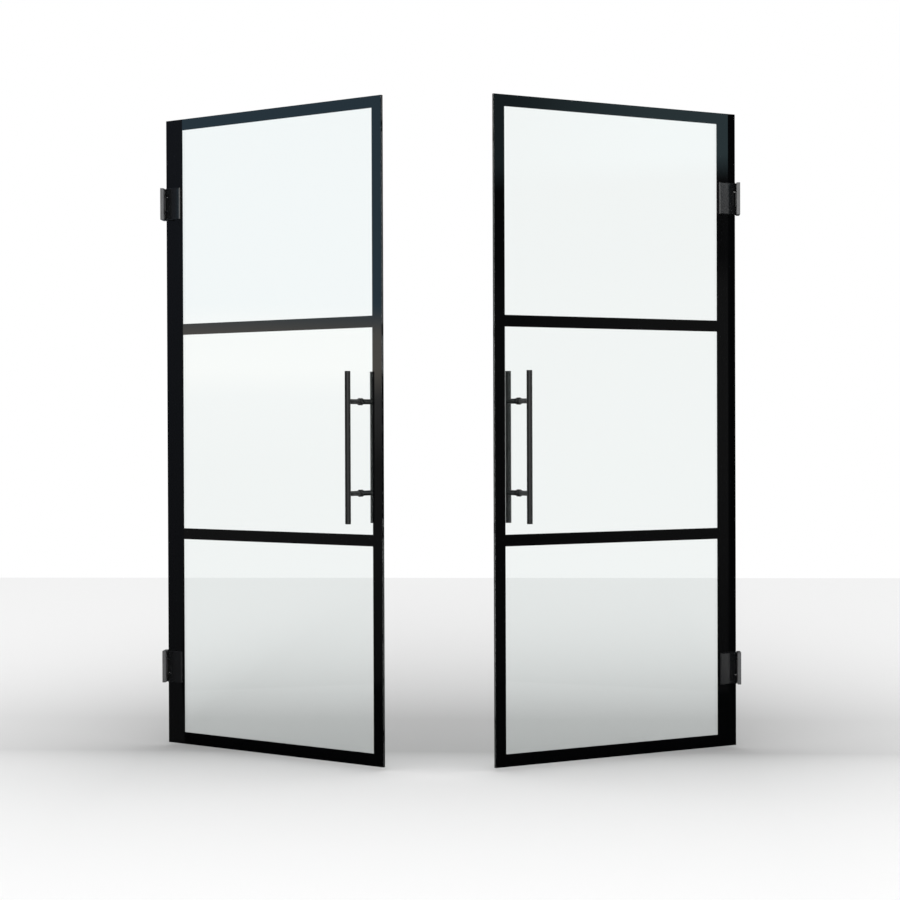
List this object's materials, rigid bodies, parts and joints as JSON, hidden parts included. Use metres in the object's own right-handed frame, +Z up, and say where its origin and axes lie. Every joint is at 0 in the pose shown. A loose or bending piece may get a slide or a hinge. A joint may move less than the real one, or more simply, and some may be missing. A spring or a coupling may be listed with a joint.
{
  "type": "double glass door",
  "caption": "Frameless double glass door with a black printed grid, double-action wall hinges and back-to-back bar handles; both leaves stand part open.",
  "frame": {"origin": "middle of the lower left wall plate's back face, where the hinge meets the wall", "axes": "+X across the doorway to the right leaf, +Y through the wall away from the viewer, +Z up"},
  "size_m": [1.9272, 0.5737, 2.085],
  "materials": {
    "clear_glass": "clear toughened glass with polished edges, slight green tint",
    "black_print": "opaque black ceramic print fired on the glass, glossy",
    "hinge_black": "satin black coating on forged brass",
    "wall_plate_black": "satin graphite coating on forged brass",
    "handle_black": "satin charcoal-black powder coat",
    "steel": "turned stainless steel",
    "nylon": "natural nylon",
    "black_nylon": "black nylon",
    "gasket_rubber": "matt black gasket sheet"
  },
  "bodies": {
    "wall_plates": {"left_upper_wall_plate": "wall_plate_black", "left_upper_pivot_pin": "steel", "left_lower_wall_plate": "wall_plate_black", "left_lower_pivot_pin": "steel", "right_upper_wall_plate": "wall_plate_black", "right_upper_pivot_pin": "steel", "right_lower_wall_plate": "wall_plate_black", "right_lower_pivot_pin": "steel"},
    "left_leaf": {"left_upper_hinge_block": "hinge_black", "left_upper_front_plate": "hinge_black", "left_upper_rear_plate": "hinge_black", "left_upper_gaskets": "gasket_rubber", "left_upper_detent_plunger": "steel", "left_upper_detent_spring": "steel", "left_lower_hinge_block": "hinge_black", "left_lower_front_plate": "hinge_black", "left_lower_rear_plate": "hinge_black", "left_lower_gaskets": "gasket_rubber", "left_lower_detent_plunger": "steel", "left_lower_detent_spring": "steel", "left_glass": "clear_glass", "left_printed_grid": "black_print", "left_pin_bushes": "nylon", "left_clamp_screws": "steel", "left_front_bar": "handle_black", "left_rear_bar": "handle_black", "left_front_posts": "handle_black", "left_rear_posts": "handle_black", "left_bar_caps": "handle_black", "left_collars": "handle_black", "left_glass_bushes": "black_nylon", "left_handle_studs": "steel", "left_set_screws": "steel"},
    "right_leaf": {"right_upper_hinge_block": "hinge_black", "right_upper_front_plate": "hinge_black", "right_upper_rear_plate": "hinge_black", "right_upper_gaskets": "gasket_rubber", "right_upper_detent_plunger": "steel", "right_upper_detent_spring": "steel", "right_lower_hinge_block": "hinge_black", "right_lower_front_plate": "hinge_black", "right_lower_rear_plate": "hinge_black", "right_lower_gaskets": "gasket_rubber", "right_lower_detent_plunger": "steel", "right_lower_detent_spring": "steel", "right_glass": "clear_glass", "right_printed_grid": "black_print", "right_pin_bushes": "nylon", "right_clamp_screws": "steel", "right_front_bar": "handle_black", "right_rear_bar": "handle_black", "right_front_posts": "handle_black", "right_rear_posts": "handle_black", "right_bar_caps": "handle_black", "right_collars": "handle_black", "right_glass_bushes": "black_nylon", "right_handle_studs": "steel", "right_set_screws": "steel"}
  },
  "joints": [
    {"name": "left_leaf_swing", "type": "hinge", "parent": "wall_plates", "child": "left_leaf", "pos_m": [0.0268, 0, 0], "axis": [0, 0, -1], "range_deg": [-125, 55]},
    {"name": "right_leaf_swing", "type": "hinge", "parent": "wall_plates", "child": "right_leaf", "pos_m": [1.9004, 0, 0], "axis": [0, 0, 1], "range_deg": [-125, 55]}
  ]
}
